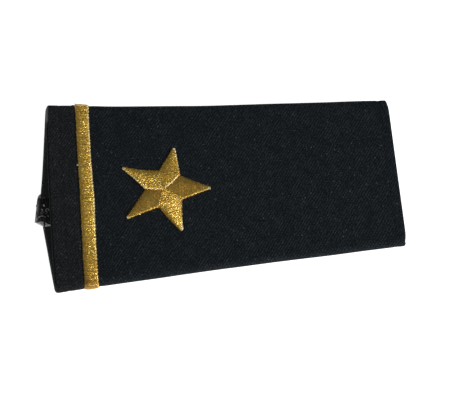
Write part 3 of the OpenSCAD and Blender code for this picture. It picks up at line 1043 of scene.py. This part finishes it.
def make_ray(number):
    """One padded ray: satin stitches across a leaf from the star's centre to its tip.

    t is the distance from the centre along the ray's axis and v the distance from that axis.
    """
    ray = RAYS[number]
    rng = np.random.default_rng(40 + number)
    length = ray["tip_r"]
    axis = direction(ray["tip_at"])
    side = np.array([-axis[1], axis[0]])
    notches = []
    for neighbour in (RAYS[number - 1], ray):
        point = neighbour["notch_r"] * direction(neighbour["notch_at"])
        notches.append((float(point @ axis), float(point @ side)))

    def edges(t):
        """How far the two edges are off the axis."""
        both = []
        for (notch_t, notch_v), lap, hollow in zip(notches, ray["lap"], ray["hollow"]):
            sign = math.copysign(1, notch_v)
            inner = notch_v * t / notch_t + sign * lap * np.clip(1.15 - t / notch_t, 0, 0.5) * 2
            share = held((t - notch_t) / (length - notch_t))
            outer = notch_v + (sign * TIP_HALF - notch_v) * share - sign * hollow * np.sin(np.pi * share)
            both.append(np.where(t < notch_t, inner, outer))
        return both

    def height_at(t):
        share = held((t / length - 0.16) / 0.74)
        swell = 0.72 + 0.28 * np.sin(np.pi * (0.25 + 0.7 * share))
        higher = RAISED if max(ray["joint"]) == 1 else 0.0
        return (STAR_T - 0.12) * swell + higher * held(1.25 - t / length * 1.9)

    def crown(middle, width):
        t_mid = middle @ axis
        outside = t_mid > notches[0][0]
        return min(height_at(t_mid), 0.32 + 0.36 * width) if outside else height_at(t_mid)

    def end_lift(t, notch_t, joint):
        share = held((notch_t + 0.1 - t) / 0.9)
        return -SINK + (joint * height_at(t) - 0.05 + SINK) * share

    t = np.linspace(0.2, length - 0.2, int((length - 0.35) / HOLE_PITCH) + 1)
    beads = BEAD_OUT * np.cos(2 * np.pi * t / BEAD_PITCH)
    both = zip(edges(t), (-1, 1), ray["slopes"], notches, ray["joint"], ray["crease"])
    holes, ends, fades = [], [], []
    for edge, outwards, slope, (notch_t, _), joint, crease in both:
        v = edge + rng.normal(0, 0.025, len(t)) + outwards * beads * (slope > 0)
        holes.append(t[:, None] * axis + v[:, None] * side)
        ends.append(end_lift(t, notch_t, joint))
        fades.append(np.maximum(crease, held((t - notch_t + 0.7) / 0.7)))
    # A painted highlight on the last millimetre of each ray
    painted_light = 1.2 * held((t - length + 1.1) / 0.9)
    skins = Skins()
    satin(
        skins, star_place, holes, crown, rng, ray["power"], ray["leans"], ray["slopes"], ends, painted_light, fades)

    under_t = np.linspace(0.3, length - 0.5, 40)
    across = np.linspace(-1, 1, 13)
    low, high = edges(under_t)
    low = low + 0.2
    high = np.maximum(high - 0.2, low + 0.1)
    wide = (high - low) / 2
    tops = np.minimum(height_at(under_t), 0.3 + 0.7 * wide)[:, None] - 0.22
    v = ((low + high) / 2)[:, None] + wide[:, None] * across
    base = end_lift(under_t, min(notch_t for notch_t, _ in notches), min(ray["joint"]))[:, None] - 0.15
    lift = base + (tops - base) * dome(across, 3)
    plan = under_t[:, None, None] * axis + v[..., None] * side
    add_padding(skins, star_place, plan[..., 0], plan[..., 1], lift, 0.2, under_t)
    return skins.build(f"star_satin_{number + 1}", [gold_calm if ray["calm"] else gold, gold_under])


# The pieces, what they ride on and what they stand for

sleeve = make_sleeve()
hem_stitches = make_hem_stitches()
allowance = make_allowance()
overlock = make_overlock()
lining_strip = make_lining()
stripe = make_stripe()
rays = [make_ray(number) for number in range(len(RAYS))]

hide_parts("sleeve")
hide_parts("seam_allowance")
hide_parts("interlining_edge")
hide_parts("stripe")
for number, ray in enumerate(rays):
    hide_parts(f"star_ray_{number + 1}")
for piece in (sleeve, hem_stitches, allowance, overlock, lining_strip, stripe, *rays):
    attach(piece, "root")


# Floor, light and camera

FLOOR_HALF = 1.5
FLOOR_GLOW = 0.9
# Sky behind the far side of the board and on its near side
SKY_FAR = (0.125, 0.127, 0.131)
SKY_NEAR = (0.29, 0.294, 0.304)
# Key light: direction round the board and above the floor, distance and size in metres, power in watts
KEY_AROUND = -46
KEY_ABOVE = 50
KEY_AWAY = 1.3
KEY_SIZE = 0.5
KEY_POWER = 10.2
# Camera: how the board is turned before it about its axes, how far off its front is, and the lens
CAMERA_TURN = (-21.14, 2.85, 4.25)
CAMERA_OFFSET = (-0.11, 4.75, 431.1)
LENS = 127.8
SENSOR = 36


def make_floor():
    mesh = bpy.data.meshes.new("floor")
    corners = [(x * FLOOR_HALF, y * FLOOR_HALF, 0) for x, y in ((-1, -1), (1, -1), (1, 1), (-1, 1))]
    mesh.from_pydata(corners, [], [(0, 1, 2, 3)])
    material, _, shader = new_material("floor")
    feed(shader, {
        "Base Color": (0.85, 0.85, 0.85), "Roughness": 0.9, "Specular IOR Level": 0.1,
        "Emission Color": (1, 1, 1), "Emission Strength": FLOOR_GLOW,
    })
    mesh.materials.append(material)
    floor = add_object("floor", mesh)


def make_lights():
    world = bpy.data.worlds.new("studio")
    world.use_nodes = True
    tree = world.node_tree
    seen = add_node(tree, "ShaderNodeTexCoord", {}, "Generated")
    far = add_node(tree, "ShaderNodeSeparateXYZ", {"Vector": seen}, "Y")
    sky = blend(tree, ramp(tree, far, -0.8, 0.6), SKY_NEAR, SKY_FAR)
    feed(tree.nodes["Background"], {"Color": sky})
    bpy.context.scene.world = world
    aside, up = direction(KEY_ABOVE)
    way = Vector((*(aside * direction(KEY_AROUND)), up))
    light = bpy.data.lights.new("key", "AREA")
    light.energy = KEY_POWER
    light.size = KEY_SIZE
    lamp = add_object("key", light)
    lamp.location = KEY_AWAY * way
    lamp.rotation_mode = "QUATERNION"
    lamp.rotation_quaternion = way.to_track_quat("Z", "Y")


def make_camera():
    data = bpy.data.cameras.new("camera")
    data.lens = LENS
    data.sensor_width = SENSOR
    turn = Euler(np.radians(CAMERA_TURN), "XYZ").to_matrix()
    aside, up, away = CAMERA_OFFSET
    eye = turn.transposed() @ Vector((-aside, -up, away)) + Vector((FRONT_X, 0, BOARD_H))
    camera = add_object("camera", data)
    camera.matrix_world = Matrix.Translation(eye * MM) @ turn.transposed().to_4x4()
    bpy.context.scene.camera = camera


make_floor()
make_lights()
make_camera()
bpy.context.scene.view_settings.view_transform = "Standard"
